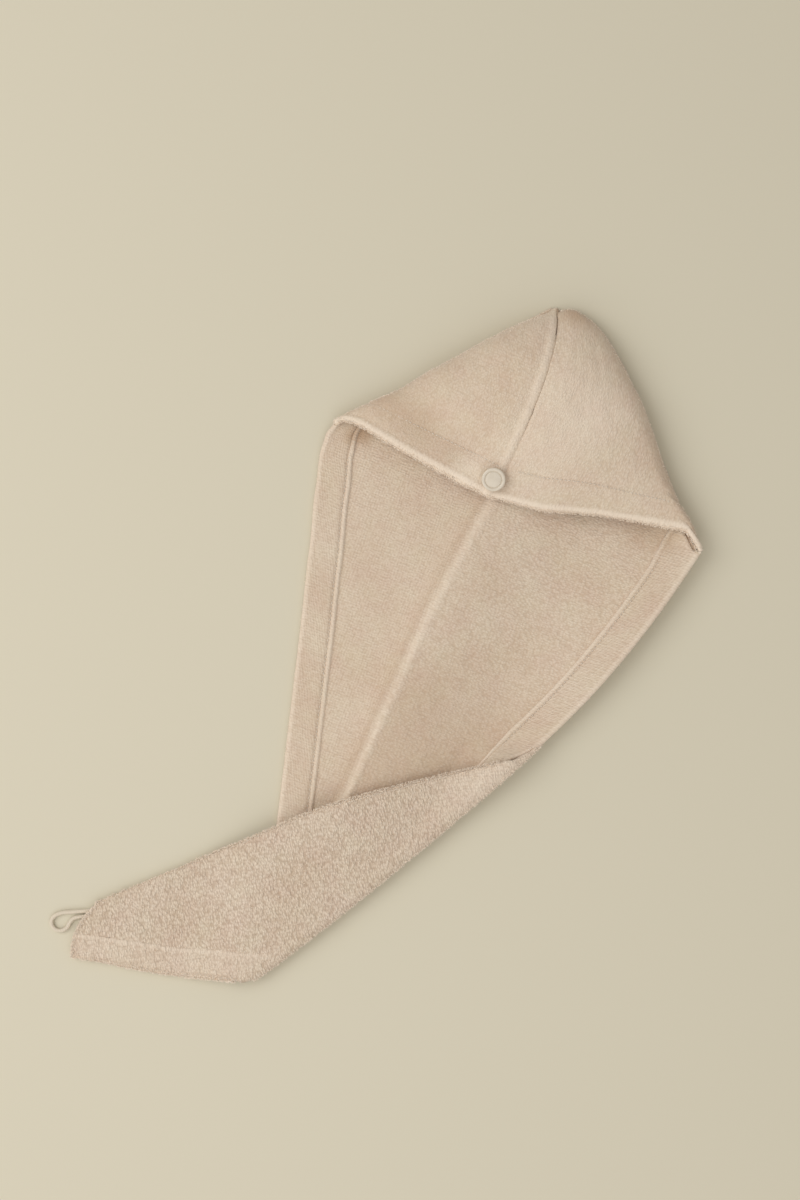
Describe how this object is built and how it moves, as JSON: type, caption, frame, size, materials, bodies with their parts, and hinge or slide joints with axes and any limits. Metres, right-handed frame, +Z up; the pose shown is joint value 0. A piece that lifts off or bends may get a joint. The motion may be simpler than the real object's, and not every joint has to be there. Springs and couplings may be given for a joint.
{
  "type": "hair turban towel",
  "caption": "Terry hair turban towel lying open: a puffed hood with a nape button, a creased lower layer, and a tapered tail turned over once with a cord loop at its tip.",
  "frame": {"origin": "on the surface the towel lies on, under the middle of the cloth's box", "axes": "+Z up from the surface, +Y from the tail to the peak of the hood along the back seam, +X to the right"},
  "size_m": [0.3718, 0.5992, 0.0398],
  "materials": {
    "terry": "soft cotton terry loops",
    "hem": "turned terry edge, lock stitched",
    "button": "satin off-white",
    "cotton": "cotton covered elastic cord"
  },
  "bodies": {
    "root": {"left_panel": "terry", "right_panel": "terry", "left_hem": "hem", "right_hem": "hem", "hood_left": "terry", "hood_right": "terry", "nape_hem_left": "hem", "nape_hem_right": "hem", "back_seam": "hem", "tail": "terry", "tail_hem_lower": "hem", "tail_hem_upper": "hem", "button_thread": "cotton", "button": "button", "tail_loop": "cotton"}
  },
  "joints": []
}
